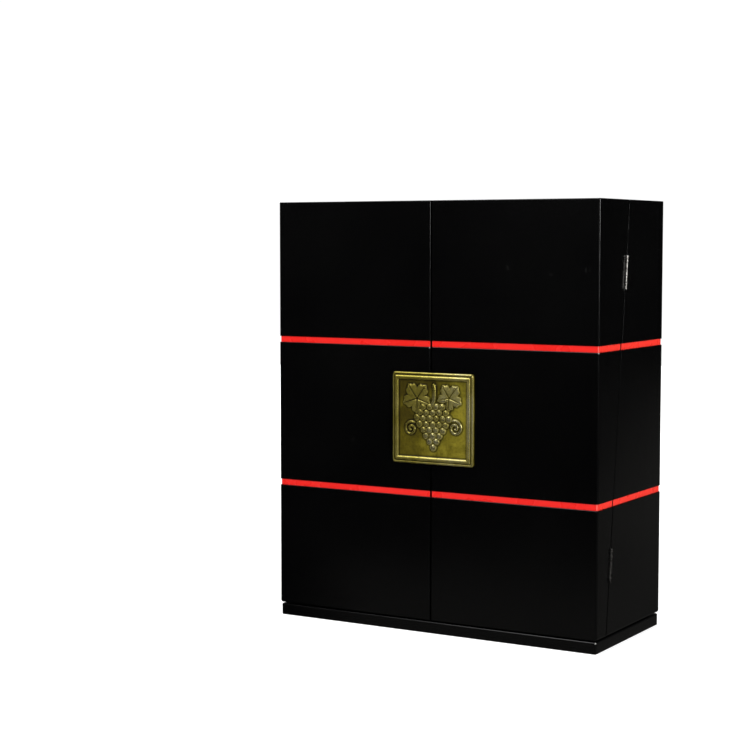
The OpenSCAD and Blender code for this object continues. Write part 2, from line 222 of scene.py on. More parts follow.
def plate(outer, holes, depth, bevel, res=3):
    """A flat plate in local XY with holes, extruded in Z from 0 to depth, with rounded arrises. Returns a bmesh."""
    cu = bpy.data.curves.new("tmp_plate", "CURVE")
    cu.dimensions = "2D"
    cu.fill_mode = "BOTH"
    cu.extrude = depth / 2 - bevel
    cu.bevel_depth = bevel
    cu.bevel_resolution = res
    cu.offset = -bevel
    for loop in [outer, *holes]:
        s = cu.splines.new("POLY")
        s.points.add(len(loop) - 1)
        for p, (x, y) in zip(s.points, loop):
            p.co = (x, y, 0, 1)
        s.use_cyclic_u = True
    ob = bpy.data.objects.new("tmp_plate", cu)
    bpy.context.scene.collection.objects.link(ob)
    me = bpy.data.meshes.new_from_object(ob.evaluated_get(bpy.context.evaluated_depsgraph_get()))
    bm = bmesh.new()
    bm.from_mesh(me)
    bpy.data.objects.remove(ob)
    bpy.data.curves.remove(cu)
    bpy.data.meshes.remove(me)
    bmesh.ops.remove_doubles(bm, verts=bm.verts, dist=1e-4)
    for v in bm.verts:
        v.co.z += depth / 2
    return bm


def carve(bm, cutter):
    """The first mesh less the second, as a new bmesh."""
    obs = []
    for b in (bm, cutter):
        bmesh.ops.recalc_face_normals(b, faces=b.faces)
        me = bpy.data.meshes.new("tmp_carve")
        b.to_mesh(me)
        b.free()
        ob = bpy.data.objects.new("tmp_carve", me)
        bpy.context.scene.collection.objects.link(ob)
        obs.append(ob)
    mod = obs[0].modifiers.new("cut", "BOOLEAN")
    mod.operation = "DIFFERENCE"
    mod.solver = "EXACT"
    mod.object = obs[1]
    me = bpy.data.meshes.new_from_object(obs[0].evaluated_get(bpy.context.evaluated_depsgraph_get()))
    out = bmesh.new()
    out.from_mesh(me)
    bpy.data.meshes.remove(me)
    for ob in obs:
        old = ob.data
        bpy.data.objects.remove(ob)
        bpy.data.meshes.remove(old)
    bmesh.ops.remove_doubles(out, verts=out.verts, dist=0.006)
    bmesh.ops.dissolve_degenerate(out, dist=0.002, edges=out.edges)
    return out


# ---------------------------------------------------------------- materials
def material(name):
    m = bpy.data.materials.new(name)
    m.use_nodes = True
    nt = m.node_tree
    b = nt.nodes["Principled BSDF"]
    return m, nt, b


def node(nt, kind, **inputs):
    n = nt.nodes.new(kind)
    for k, v in inputs.items():
        k = k.replace("_", " ")
        if k in n.inputs:
            n.inputs[k].default_value = v
        else:
            setattr(n, k.replace(" ", "_"), v)
    return n


def noise_tex(nt, co, scale, detail=3.0, rough=0.5, dist=0.0):
    n = nt.nodes.new("ShaderNodeTexNoise")
    n.inputs["Scale"].default_value = scale
    n.inputs["Detail"].default_value = detail
    n.inputs["Roughness"].default_value = rough
    n.inputs["Distortion"].default_value = dist
    nt.links.new(co, n.inputs["Vector"])
    return n


def ramp(nt, fac, stops):
    r = nt.nodes.new("ShaderNodeValToRGB")
    els = r.color_ramp.elements
    while len(els) < len(stops):
        els.new(0.5)
    for e, (p, c) in zip(els, stops):
        e.position = p
        e.color = (*c, 1) if len(c) == 3 else c
    nt.links.new(fac, r.inputs["Fac"])
    return r


def map_range(nt, val, a, b, c, d):
    r = nt.nodes.new("ShaderNodeMapRange")
    for k, v in (("From Min", a), ("From Max", b), ("To Min", c), ("To Max", d)):
        r.inputs[k].default_value = v
    nt.links.new(val, r.inputs["Value"])
    return r


def mix_col(nt, fac, a, b, mode="MIX"):
    m = nt.nodes.new("ShaderNodeMix")
    m.data_type = "RGBA"
    m.blend_type = mode
    for sock, v in ((m.inputs[0], fac), (m.inputs[6], a), (m.inputs[7], b)):
        if hasattr(v, "links") or hasattr(v, "is_output"):
            nt.links.new(v, sock)
        else:
            sock.default_value = v if not isinstance(v, tuple) else (*v, 1)
    return m.outputs[2]


def bump(nt, height, strength, distance, normal=None):
    b = nt.nodes.new("ShaderNodeBump")
    b.inputs["Strength"].default_value = strength
    b.inputs["Distance"].default_value = distance
    nt.links.new(height, b.inputs["Height"])
    if normal is not None:
        nt.links.new(normal, b.inputs["Normal"])
    return b.outputs["Normal"]


def math_node(nt, op, a, b=None):
    m = nt.nodes.new("ShaderNodeMath")
    m.operation = op
    for sock, v in zip(m.inputs, (a, b)):
        if v is None:
            continue
        if hasattr(v, "is_output"):
            nt.links.new(v, sock)
        else:
            sock.default_value = v
    return m.outputs[0]


def lacquer(name="black_lacquer", dust=1.0, chips_and_glints=(), marks=()):
    m, nt, b = material(name)
    co = nt.nodes.new("ShaderNodeTexCoord").outputs["Object"]
    # Slow tonal drift of the sprayed coat, and its fine orange peel
    drift = noise_tex(nt, co, 9.0, 3.0, 0.55)
    peel = noise_tex(nt, co, 620.0, 2.0, 0.5)
    wave = noise_tex(nt, co, 95.0, 2.0, 0.5)
    # Sparse specks of dust
    vo = nt.nodes.new("ShaderNodeTexVoronoi")
    vo.inputs["Scale"].default_value = 95.0
    nt.links.new(co, vo.inputs["Vector"])
    near = map_range(nt, vo.outputs["Distance"], 0.02, 0.05, 1.0, 0.0)
    sep = nt.nodes.new("ShaderNodeSeparateColor")
    nt.links.new(vo.outputs["Color"], sep.inputs[0])
    rare = math_node(nt, "GREATER_THAN", sep.outputs[0], 0.93)
    speck = math_node(nt, "MULTIPLY", near.outputs[0], rare)
    speck = math_node(nt, "MULTIPLY", speck, 0.55 * dust)
    base = ramp(nt, drift.outputs["Fac"], [(0.3, (0.0005, 0.0005, 0.0006)), (0.7, (0.001, 0.001, 0.001))])
    col = mix_col(nt, speck, base.outputs["Color"], (0.02, 0.02, 0.019))
    # Dust marks on the faces, and pale grey spots at arrises: partly chips through to the grey primer, partly painted
    # highlights
    for spots, tint in ((marks, (0.0046, 0.0046, 0.0044)), (chips_and_glints, (0.3, 0.3, 0.285))):
        if not spots:
            continue
        spot_mask = None
        ragged = noise_tex(nt, co, 700.0, 2.0, 0.6)
        for px, py, pz, pr in spots:
            dn = nt.nodes.new("ShaderNodeVectorMath")
            dn.operation = "DISTANCE"
            nt.links.new(co, dn.inputs[0])
            dn.inputs[1].default_value = (px * MM, py * MM, pz * MM)
            d = math_node(nt, "ADD", dn.outputs["Value"], math_node(nt, "MULTIPLY", ragged.outputs["Fac"], 0.0012))
            k = map_range(nt, d, (pr + 0.35) * MM, (pr + 0.85) * MM, 1.0, 0.0)
            spot_mask = k.outputs[0] if spot_mask is None else math_node(nt, "MAXIMUM", spot_mask, k.outputs[0])
        col = mix_col(nt, spot_mask, col, tint)
    nt.links.new(col, b.inputs["Base Color"])
    rough = map_range(nt, drift.outputs["Fac"], 0.25, 0.75, 0.17, 0.215)
    nt.links.new(rough.outputs[0], b.inputs["Roughness"])
    b.inputs["IOR"].default_value = 1.45
    b.inputs["Specular IOR Level"].default_value = 0.5
    n1 = bump(nt, wave.outputs["Fac"], 0.05, 0.0004)
    n2 = bump(nt, peel.outputs["Fac"], 0.12, 0.00004, n1)
    nt.links.new(n2, b.inputs["Normal"])
    return m


def red_inlay():
    m, nt, b = material("red_inlay")
    co = nt.nodes.new("ShaderNodeTexCoord").outputs["Object"]
    drift = noise_tex(nt, co, 35.0, 3.0, 0.6)
    fine = noise_tex(nt, co, 900.0, 2.0, 0.5)
    c = ramp(nt, drift.outputs["Fac"], [(0.3, (0.64, 0.005, 0.0018)), (0.7, (0.71, 0.007, 0.003))]).outputs["Color"]
    sx = nt.nodes.new("ShaderNodeSeparateXYZ")
    nt.links.new(co, sx.inputs[0])
    away = math_node(nt, "ABSOLUTE", sx.outputs["X"])
    # Paler on the sides: a painted sheen, the side faces catching more light than the front
    side_sheen = map_range(nt, away, 140.4 * MM, 141.1 * MM, 0.0, 1.0)
    c = mix_col(nt, side_sheen.outputs[0], c, (0.73, 0.027, 0.0155))
    # Pinker at the front corners: a painted highlight where the rounded corner catches the light
    flat = nt.nodes.new("ShaderNodeCombineXYZ")
    nt.links.new(away, flat.inputs[0])
    nt.links.new(sx.outputs["Y"], flat.inputs[1])
    dn = nt.nodes.new("ShaderNodeVectorMath")
    dn.operation = "DISTANCE"
    nt.links.new(flat.outputs[0], dn.inputs[0])
    dn.inputs[1].default_value = (141.0 * MM, -61.0 * MM, 0)
    ragged = noise_tex(nt, co, 1100.0, 2.0, 0.6)
    d = math_node(nt, "ADD", dn.outputs["Value"], math_node(nt, "MULTIPLY", ragged.outputs["Fac"], 0.0014))
    rub = map_range(nt, d, 0.75 * MM, 1.4 * MM, 0.6, 0.0)
    c = mix_col(nt, rub.outputs[0], c, (0.85, 0.16, 0.13))
    # Near-black at the side seams and between the doors: partly black lacquer run over the cut ends, partly painted
    # shade that widens the dark line of each gap
    seam = math_node(nt, "ADD", math_node(nt, "MULTIPLY", sx.outputs["Z"], TAN), seam_y(0) * MM)
    near = math_node(nt, "ABSOLUTE", math_node(nt, "SUBTRACT", sx.outputs["Y"], seam))
    end = map_range(nt, near, (GAP / 2 / COS + 0.4) * MM, (GAP / 2 / COS + 0.6) * MM, 1.0, 0.0)
    mid = map_range(nt, away, (CENTRE / 2 + 0.2) * MM, (CENTRE / 2 + 0.35) * MM, 1.0, 0.0)
    mid = math_node(nt, "MULTIPLY", mid.outputs[0], math_node(nt, "LESS_THAN", sx.outputs["Y"], 0.0))
    c = mix_col(nt, math_node(nt, "MAXIMUM", end.outputs[0], mid), c, (0.004, 0.001, 0.001))
    nt.links.new(c, b.inputs["Base Color"])
    r = map_range(nt, drift.outputs["Fac"], 0.3, 0.7, 0.24, 0.32)
    nt.links.new(r.outputs[0], b.inputs["Roughness"])
    b.inputs["Specular IOR Level"].default_value = 0.4
    nt.links.new(bump(nt, fine.outputs["Fac"], 0.1, 0.00003), b.inputs["Normal"])
    return m


def velour():
    m, nt, b = material("wine_red_velour")
    co = nt.nodes.new("ShaderNodeTexCoord").outputs["Object"]
    crush = noise_tex(nt, co, 22.0, 3.0, 0.6, 0.6)
    pile = noise_tex(nt, co, 1500.0, 2.0, 0.7)
    tuft = noise_tex(nt, co, 420.0, 2.0, 0.6)
    c = ramp(nt, crush.outputs["Fac"], [(0.3, (0.13, 0.006, 0.011)), (0.7, (0.22, 0.012, 0.02))])
    dark = map_range(nt, pile.outputs["Fac"], 0.3, 0.7, 0.72, 1.15)
    comb = nt.nodes.new("ShaderNodeCombineColor")
    for i in range(3):
        nt.links.new(dark.outputs[0], comb.inputs[i])
    col = mix_col(nt, 1.0, c.outputs["Color"], comb.outputs[0], "MULTIPLY")
    nt.links.new(col, b.inputs["Base Color"])
    r = map_range(nt, crush.outputs["Fac"], 0.3, 0.7, 0.82, 0.95)
    nt.links.new(r.outputs[0], b.inputs["Roughness"])
    b.inputs["Specular IOR Level"].default_value = 0.15
    b.inputs["Sheen Weight"].default_value = 0.55
    b.inputs["Sheen Roughness"].default_value = 0.35
    b.inputs["Sheen Tint"].default_value = (0.85, 0.25, 0.3, 1)
    n1 = bump(nt, tuft.outputs["Fac"], 0.3, 0.0002)
    nt.links.new(bump(nt, pile.outputs["Fac"], 0.35, 0.00012, n1), b.inputs["Normal"])
    return m


def metal(name, lo, hi, r0, r1, scratch=1.0, low=1.0):
    m, nt, b = material(name)
    co = nt.nodes.new("ShaderNodeTexCoord").outputs["Object"]
    mp = nt.nodes.new("ShaderNodeMapping")
    mp.inputs["Scale"].default_value = (1.0, 1.0, 0.12)
    nt.links.new(co, mp.inputs["Vector"])
    grain = noise_tex(nt, mp.outputs["Vector"], 2600.0, 3.0, 0.6)
    stain = noise_tex(nt, co, 240.0, 4.0, 0.6)
    c = ramp(nt, stain.outputs["Fac"], [(0.35, lo), (0.65, hi)]).outputs["Color"]
    if low < 1:
        # Darker near the foot of the box: painted shade, the lower hinges catching less light than the upper
        sx = nt.nodes.new("ShaderNodeSeparateXYZ")
        nt.links.new(co, sx.inputs[0])
        c = mix_col(nt, map_range(nt, sx.outputs["Z"], 0.1, 0.25, 1 - low, 0.0).outputs[0], c, (0.0, 0.0, 0.0))
    nt.links.new(c, b.inputs["Base Color"])
    b.inputs["Metallic"].default_value = 1.0
    r = map_range(nt, stain.outputs["Fac"], 0.3, 0.7, r0, r1)
    nt.links.new(r.outputs[0], b.inputs["Roughness"])
    nt.links.new(bump(nt, grain.outputs["Fac"], 0.2 * scratch, 0.00003), b.inputs["Normal"])
    return m


def beech():
    m, nt, b = material("bare_beech")
    co = nt.nodes.new("ShaderNodeTexCoord").outputs["Object"]
    w = noise_tex(nt, co, 400.0, 4.0, 0.6, 0.4)
    c = ramp(nt, w.outputs["Fac"], [(0.3, (0.5, 0.33, 0.18)), (0.7, (0.68, 0.5, 0.3))])
    nt.links.new(c.outputs["Color"], b.inputs["Base Color"])
    r = map_range(nt, w.outputs["Fac"], 0.3, 0.7, 0.55, 0.7)
    nt.links.new(r.outputs[0], b.inputs["Roughness"])
    return m


def cast_brass():
    m, nt, b = material("antique_brass")
    co = nt.nodes.new("ShaderNodeTexCoord").outputs["Object"]

    def attr(name):
        at = nt.nodes.new("ShaderNodeAttribute")
        at.attribute_name = name
        return at.outputs["Fac"]

    rub = attr("rub")          # 0 in the hollows, 1 on the rubbed heights
    dirt_and_shade = attr("grime_and_shade")       # 1 where old polish and dirt have settled, and where painted shade darkens the hollows
    cloud = noise_tex(nt, co, 55.0, 4.0, 0.62, 0.3)
    sand = noise_tex(nt, co, 1500.0, 3.0, 0.65)
    pit = noise_tex(nt, co, 520.0, 3.0, 0.6)
    # Painted reflection: the ground is brighter towards its right, where it catches more light; it is also darker
    # towards its top
    sx = nt.nodes.new("ShaderNodeSeparateXYZ")
    nt.links.new(co, sx.inputs[0])
    right_reflection = map_range(nt, sx.outputs["X"], -0.02, 0.026, -0.12, 0.14)
    high = map_range(nt, sx.outputs["Z"], 0.183, 0.2, 0.0, -0.11)
    tone = math_node(nt, "ADD", math_node(nt, "ADD", cloud.outputs["Fac"], right_reflection.outputs[0]), high.outputs[0])
    field = ramp(nt, tone, [(0.28, (0.06, 0.045, 0.002)), (0.5, (0.12, 0.097, 0.004)), (0.72, (0.29, 0.243, 0.02))])
    top = ramp(nt, tone, [(0.28, (0.36, 0.305, 0.05)), (0.5, (0.5, 0.43, 0.115)), (0.72, (0.52, 0.475, 0.25))])
    mask = map_range(nt, rub, 0.3, 1.0, 0.0, 1.0)
    col = mix_col(nt, mask.outputs[0], field.outputs["Color"], top.outputs["Color"])
    fine = map_range(nt, pit.outputs["Fac"], 0.3, 0.52, 0.72, 1.05)
    dark = map_range(nt, dirt_and_shade, 0.0, 1.0, 1.0, 0.2)
    comb = nt.nodes.new("ShaderNodeCombineColor")
    shade = math_node(nt, "MULTIPLY", fine.outputs[0], dark.outputs[0])
    for i in range(3):
        nt.links.new(shade, comb.inputs[i])
    col = mix_col(nt, 1.0, col, comb.outputs[0], "MULTIPLY")
    nt.links.new(col, b.inputs["Base Color"])
    # Tarnish dulls the hollows; the heights are rubbed back to metal
    mt = map_range(nt, rub, 0.3, 1.0, 0.5, 0.9)
    nt.links.new(mt.outputs[0], b.inputs["Metallic"])
    b.inputs["Coat Weight"].default_value = 0.12
    b.inputs["Coat Roughness"].default_value = 0.22
    r = map_range(nt, rub, 0.3, 1.0, 0.45, 0.26)
    nt.links.new(r.outputs[0], b.inputs["Roughness"])
    b.inputs["Specular IOR Level"].default_value = 0.2
    n1 = bump(nt, pit.outputs["Fac"], 0.3, 0.00022)
    nt.links.new(bump(nt, sand.outputs["Fac"], 0.3, 0.00006, n1), b.inputs["Normal"])
    return m


# The two pale grey spots on the doors, just below the upper band at the centre gap and at the right front corner, are
# painted highlights where the arris catches the light
LACQUER = lacquer(chips_and_glints=((-1.0, -61.8, 225.8, 0.55), (141.6, -61.6, 225.8, 0.5)),
                  marks=((66.3, -62, 289.2, 1.0), (66.4, -62, 287.7, 1.0), (102.5, -62, 283.5, 1.2), (130.8, -62, 287.9, 0.75),
                         (130.8, -62, 286.4, 0.75), (133.9, -62, 286.8, 0.65), (-71.5, -62, 149.9, 1.25)))
# On the plinth, the pale grey spot at the near front corner is a painted glint; the two at the other corners are small
# chips through to the primer
PLINTH_LACQUER = lacquer("plinth_lacquer", chips_and_glints=((140.9, -60.9, 8.6, 0.68), (-140.9, -60.9, 9.2, 0.3), (140.9, 60.9, 9.2, 0.35)))
RED = red_inlay()
VELOUR = velour()
# The nickel is darkened towards the foot of the box: painted shade on the lower hinges
NICKEL = metal("worn_nickel", (0.15, 0.145, 0.135), (0.29, 0.28, 0.265), 0.21, 0.34, low=0.55)
ZINC = metal("bright_zinc", (0.48, 0.49, 0.5), (0.66, 0.67, 0.68), 0.25, 0.4)
BEECH = beech()
BRASS = cast_brass()

# ---------------------------------------------------------------- the doors
ROWS = body_rows()


def door(side, mirror):
    body = f"{side}_door"
    bm = bmesh.new()
    tower(bm, [door_ring(*r) for r in ROWS])
    finish_mesh(f"{side}_door_shell", bm, body, (f"{side}_front_panel", f"{side}_cheek"), LACQUER, mirror=mirror)

    def rail(name, z0, z1, nodes, foot):
        bm = bmesh.new()
        y = lambda z: seam_y(z) - GAP / 2 / COS
        r = 0.5
        prof = [(IN_F, z0)]
        if foot:
            prof += [(y(z0) - r, z0), (y(z0 + r) - 0.15, z0 + 0.15), (y(z0 + r), z0 + r), (y(z1), z1)]
        else:
            prof += [(y(z0), z0), (y(z1 - r), z1 - r), (y(z1 - r) - 0.15, z1 - 0.15), (y(z1) - r, z1)]
        prof += [(IN_F, z1)]
        n = len(prof)
        # The free end is eased along the rail's long edges
        a = [bm.verts.new((CENTRE / 2, yy, zz)) for yy, zz in prof]
        b = [bm.verts.new((IN_X, yy, zz)) for yy, zz in prof]
        for i in range(n):
            j = (i + 1) % n
            bm.faces.new((a[i], a[j], b[j], b[i]))
        fa = bm.faces.new(a[::-1])
        bm.faces.new(b)
        ease = [e for e in fa.edges if not all(abs(v.co.y - IN_F) < 1e-6 for v in e.verts)
                and not (all(abs(v.co.z - (z1 if foot else z0)) < 1e-6 for v in e.verts))]
        bmesh.ops.bevel(bm, geom=ease, offset=0.45, segments=3, profile=0.5, affect="EDGES", clamp_overlap=True)
        finish_mesh(name, bm, body, nodes, LACQUER, mirror=mirror)

    rail(f"{side}_top_rail_skin", CEIL_Z, H, (f"{side}_top_rail",), False)
    rail(f"{side}_bottom_rail_skin", Z0, FLOOR_Z, (f"{side}_bottom_rail",), True)

    # Red inlays in the grooves
    for which, zc in (("lower", BANDS[0]), ("upper", BANDS[1])):
        bm = bmesh.new()
        rings = []
        for z, k in ((-2.4, 0.18), (-2.3, 0.06), (-2.1, 0.0), (2.1, 0.0), (2.3, 0.06), (2.4, 0.18)):
            zz = zc + z
            d0, d1 = GROOVE_D - BAND_T + k, GROOVE_D
            xf = CENTRE / 2 + 0.1
            ys = seam_y(zz) - GAP / 2 / COS - 0.1
            rc = EDGE_R - (GROOVE_D - BAND_T)
            out = [(xf, -HD + d0)] + arc(HW - d0 - rc, -HD + d0 + rc, rc, 270, 360, 6) + [(HW - d0, ys)]
            inn = [(HW - d1, ys)] + [(HW - d1 - 0.01 * i, -HD + d1 + 0.01 * (6 - i)) for i in range(7)][::1] + [(xf, -HD + d1)]
            rings.append([(x, y, zz) for x, y in out + inn])
        tower(bm, rings)
        finish_mesh(f"{side}_{which}_inlay", bm, body, (f"{side}_{which}_band",), RED, mirror=mirror)


door("right", False)
door("left", True)

# ---------------------------------------------------------------- the case
bm = bmesh.new()
tower(bm, [case_ring(*r) for r in ROWS])
finish_mesh("case_shell", bm, "case", ("left_side_board", "right_side_board", "back_board"), LACQUER)

yc = lambda z: seam_y(z) + GAP / 2 / COS
bm = bmesh.new()
prism_x(bm, [(yc(CEIL_Z) + 0.4, CEIL_Z), (yc(CEIL_Z) + 0.1, CEIL_Z + 0.12), (yc(CEIL_Z), CEIL_Z + 0.4), (yc(H - 0.5), H - 0.5),
             (yc(H - 0.5) + 0.15, H - 0.15), (yc(H) + 0.5, H), (IN_B, H), (IN_B, CEIL_Z)], -IN_X, IN_X)
finish_mesh("top_board_skin", bm, "case", ("top_board",), LACQUER)

bm = bmesh.new()
prism_x(bm, [(yc(Z0) + 0.5, Z0), (yc(Z0) + 0.15, Z0 + 0.15), (yc(Z0 + 0.5), Z0 + 0.5), (yc(14.2), 14.2), (IN_B, 14.2), (IN_B, Z0)], -IN_X, IN_X)
finish_mesh("bottom_board_skin", bm, "case", ("bottom_board",), LACQUER)


def circle(cx, cy, r, n=96):
    return [(cx + r * math.cos(2 * math.pi * i / n), cy + r * math.sin(2 * math.pi * i / n)) for i in range(n)]


bm = plate([(-IN_X, yc(14.2)), (IN_X, yc(14.2)), (IN_X, IN_B), (-IN_X, IN_B)], [circle(x, BOTTLE_Y, 42.0) for x in BAYS], 6.0, 0.5)
for v in bm.verts:
    t = v.co.z
    if v.co.y < yc(14.2) + 1.5:
        v.co.y += t * TAN
    v.co.z += 14.2
finish_mesh("seat_board_skin", bm, "case", ("seat_board",), LACQUER, angle=40)

# Red inlay round the case
for which, zc in (("lower", BANDS[0]), ("upper", BANDS[1])):
    bm = bmesh.new()
    rings = []
    for z, k in ((-2.4, 0.18), (-2.3, 0.06), (-2.1, 0.0), (2.1, 0.0), (2.3, 0.06), (2.4, 0.18)):
        zz = zc + z
        d0, d1 = GROOVE_D - BAND_T + k, GROOVE_D
        ys = yc(zz) + 0.1
        rc = EDGE_R - (GROOVE_D - BAND_T)
        out = [(HW - d0, ys)] + arc(HW - d0 - rc, HD - d0 - rc, rc, 0, 90, 6)
        inn = [(HW - d1, ys)] + [(HW - d1 - 0.01 * i, HD - d1 - 0.01 * (6 - i)) for i in range(7)]
        ring = out + [(-x, y) for x, y in out[::-1]] + [(-x, y) for x, y in inn] + inn[::-1]
        rings.append([(x, y, zz) for x, y in ring])
    tower(bm, rings)
    finish_mesh(f"case_{which}_inlay", bm, "case", (f"case_{which}_band",), RED)

# ---------------------------------------------------------------- plinth
def round_ring(x0, x1, y0, y1, r, z, n=6):
    pts = arc(x1 - r, y0 + r, r, 270, 360, n) + arc(x1 - r, y1 - r, r, 0, 90, n) + arc(x0 + r, y1 - r, r, 90, 180, n) + arc(x0 + r, y0 + r, r, 180, 270, n)
    return [(x, y, z) for x, y in pts]


def round_box(bm, x0, x1, y0, y1, z0, z1, rv, rb, rt, n=6):
    rings = []
    for i in range(n + 1):
        a = math.radians(90 * i / n)
        d = rb * (1 - math.sin(a))
        rings.append(round_ring(x0 + d, x1 - d, y0 + d, y1 - d, max(rv - d, 0.05), z0 + rb * (1 - math.cos(a)), n))
    for i in range(n + 1):
        a = math.radians(90 - 90 * i / n)
        d = rt * (1 - math.sin(a))
        rings.append(round_ring(x0 + d, x1 - d, y0 + d, y1 - d, max(rv - d, 0.05), z1 - rt * (1 - math.cos(a)), n))
    tower(bm, rings)


PLINTH_SCREWS = [(x, y) for x in (-HW + 30, 0, HW - 30) for y in (-24, IN_B - 14)]


def bore(bm, cx, cy, rows, n=32):
    """Rings of a turned hole or shank, joined; returns the first and the last ring."""
    rings = [[bm.verts.new((cx + r * math.cos(2 * math.pi * i / n), cy + r * math.sin(2 * math.pi * i / n), z)) for i in range(n)] for r, z in rows]
    for a, b in zip(rings, rings[1:]):
        for i in range(n):
            j = (i + 1) % n
            bm.faces.new((a[i], a[j], b[j], b[i]))
    return rings[0], rings[-1]


def loop_edges(bm, ring):
    return [bm.edges.get((ring[i], ring[(i + 1) % len(ring)])) for i in range(len(ring))]


# A plate open top and bottom, then both faces filled round the counterbored screw holes
bm = bmesh.new()
round_box(bm, -141.3, 141.3, -61.3, 61.3, 0, PLINTH_T, 1.5, 0.5, 1.2)
bm.faces.ensure_lookup_table()
caps = [f for f in bm.faces if len(f.verts) > 4]
low, high = sorted(caps, key=lambda f: f.calc_center_median().z)
low_e, high_e = list(low.edges), list(high.edges)
bmesh.ops.delete(bm, geom=[low, high], context="FACES_ONLY")
for cx, cy in PLINTH_SCREWS:
    a, b = bore(bm, cx, cy, [(3.75, 0.0), (3.6, 0.2), (3.6, 2.0), (1.8, 3.95), (1.8, PLINTH_T)])
    low_e += loop_edges(bm, a)
    high_e += loop_edges(bm, b)
bmesh.ops.triangle_fill(bm, use_beauty=True, use_dissolve=False, edges=low_e)
bmesh.ops.triangle_fill(bm, use_beauty=True, use_dissolve=False, edges=high_e)
finish_mesh("plinth_skin", bm, "case", ("plinth",), PLINTH_LACQUER)

# Countersunk cross-recess screws up into the bottom board
bm = bmesh.new()
for k, (cx, cy) in enumerate(PLINTH_SCREWS):
    a, b = bore(bm, cx, cy, [(3.32, 2.05), (3.45, 2.12), (1.68, 3.92), (1.68, Z0 + 2.3), (1.3, Z0 + 2.6)])
    bm.faces.new(b)
    t = math.radians(23 + 47 * k)
    w, l = 0.42, 1.75
    cross = [(w, l), (w, w), (l, w), (l, -w), (w, -w), (w, -l), (-w, -l), (-w, -w), (-l, -w), (-l, w), (-w, w), (-w, l)]
    cross = [(x * math.cos(t) - y * math.sin(t), x * math.sin(t) + y * math.cos(t)) for x, y in cross]
    c0 = [bm.verts.new((cx + x, cy + y, 2.05)) for x, y in cross]
    c1 = [bm.verts.new((cx + x * 0.6, cy + y * 0.6, 3.0)) for x, y in cross]
    for i in range(12):
        j = (i + 1) % 12
        bm.faces.new((c0[i], c0[j], c1[j], c1[i]))
    bm.faces.new(c1)
    bmesh.ops.triangle_fill(bm, use_beauty=True, use_dissolve=False, edges=loop_edges(bm, a) + loop_edges(bm, c0))
finish_mesh("plinth_screws_turned", bm, "case", ("plinth_screws",), ZINC, angle=30)
bm = bmesh.new()
round_box(bm, -136, 136, -39.8, 56, PLINTH_T, Z0, 2, 0.1, 0.1, 3)
finish_mesh("spacer_skin", bm, "case", ("plinth_spacer",), LACQUER)

# ---------------------------------------------------------------- velour inside
def pad(name, x0, x1, z0, z1, y_back, thick, toward, body, nodes, mirror=False, seed=1.0, nx=60, nz=120, edge=3.0):
    """A thin velour-faced panel in the XZ plane, soft at its edges, on a flat back at y_back."""
    bm = bmesh.new()
    fr = []
    for j in range(nz + 1):
        row = []
        for i in range(nx + 1):
            # Points gather near the edges
            u = 0.5 - 0.5 * math.cos(math.pi * i / nx)
            w = 0.5 - 0.5 * math.cos(math.pi * j / nz)
            x, z = x0 + (x1 - x0) * u, z0 + (z1 - z0) * w
            t = min(x - x0, x1 - x, z - z0, z1 - z)
            k = min(1.0, t / edge)
            h = thick * (0.35 + 0.65 * math.sqrt(max(0.0, 1 - (1 - k) ** 2)))
            h *= 0.95 + 0.05 * noise.noise(Vector((x * 0.03 + seed, z * 0.03, seed)))
            row.append(bm.verts.new((x, y_back + toward * h, z)))
        fr.append(row)
    for j in range(nz):
        for i in range(nx):
            bm.faces.new((fr[j][i], fr[j][i + 1], fr[j + 1][i + 1], fr[j + 1][i]))
    rim = fr[0] + [fr[j][-1] for j in range(1, nz + 1)] + fr[-1][-2::-1] + [fr[j][0] for j in range(nz - 1, 0, -1)]
    back = [bm.verts.new((v.co.x, y_back, v.co.z)) for v in rim]
    n = len(rim)
    for i in range(n):
        j = (i + 1) % n
        bm.faces.new((rim[i], back[i], back[j], rim[j]))
    bm.faces.new(back[::-1])
    ob = finish_mesh(name, bm, body, nodes, VELOUR, mirror=mirror, weighted=False, angle=50)
    return ob


pad("back_lining_pad", -132.5, 132.5, 20.5, 330.7, IN_B, LIN, -1, "case", ("back_lining",), seed=2.0, nx=90)
for side, mirror, seed in (("right", False, 5.0), ("left", True, 9.0)):
    pad(f"{side}_door_lining_pad", 3.1, 131.7, 21.7, 329.5, IN_F, LIN, 1, f"{side}_door", (f"{side}_door_lining",), mirror, seed)

for i, x in enumerate(BAYS):
    bm = bmesh.new()
    rings = []
    for r, z in ((41.5, 0.0), (41.7, 0.25), (41.6, 0.55), (41.2, 0.72), (40.2, 0.8)):
        rings.append([(px, py, 14.2 + z) for px, py in circle(x, BOTTLE_Y, r)])
    tower(bm, rings)
    ob = finish_mesh(f"seat_pad_{i + 1}", bm, "case", ("seat_pads",) if i == 0 else (), VELOUR, weighted=True)

# Dividers: velour-wrapped, front edge following the slant
for name, x in (("left_divider", -45.0), ("right_divider", 45.0)):
    r = 5.0
    y0 = lambda z: seam_y(z) + 9
    outline = [(y0(18.2), 18.2), (y0(REST_Z), REST_Z), (IN_B - LIN, REST_Z), (IN_B - LIN, 18.2)]
    bm = plate(outline, [], DIV_T, 0.9, 3)
    for v in bm.verts:
        a, b, c = v.co
        v.co = Vector((x - DIV_T / 2 + c, a, b))
    finish_mesh(f"{name}_wrapped", bm, "case", (name,), VELOUR, angle=45)

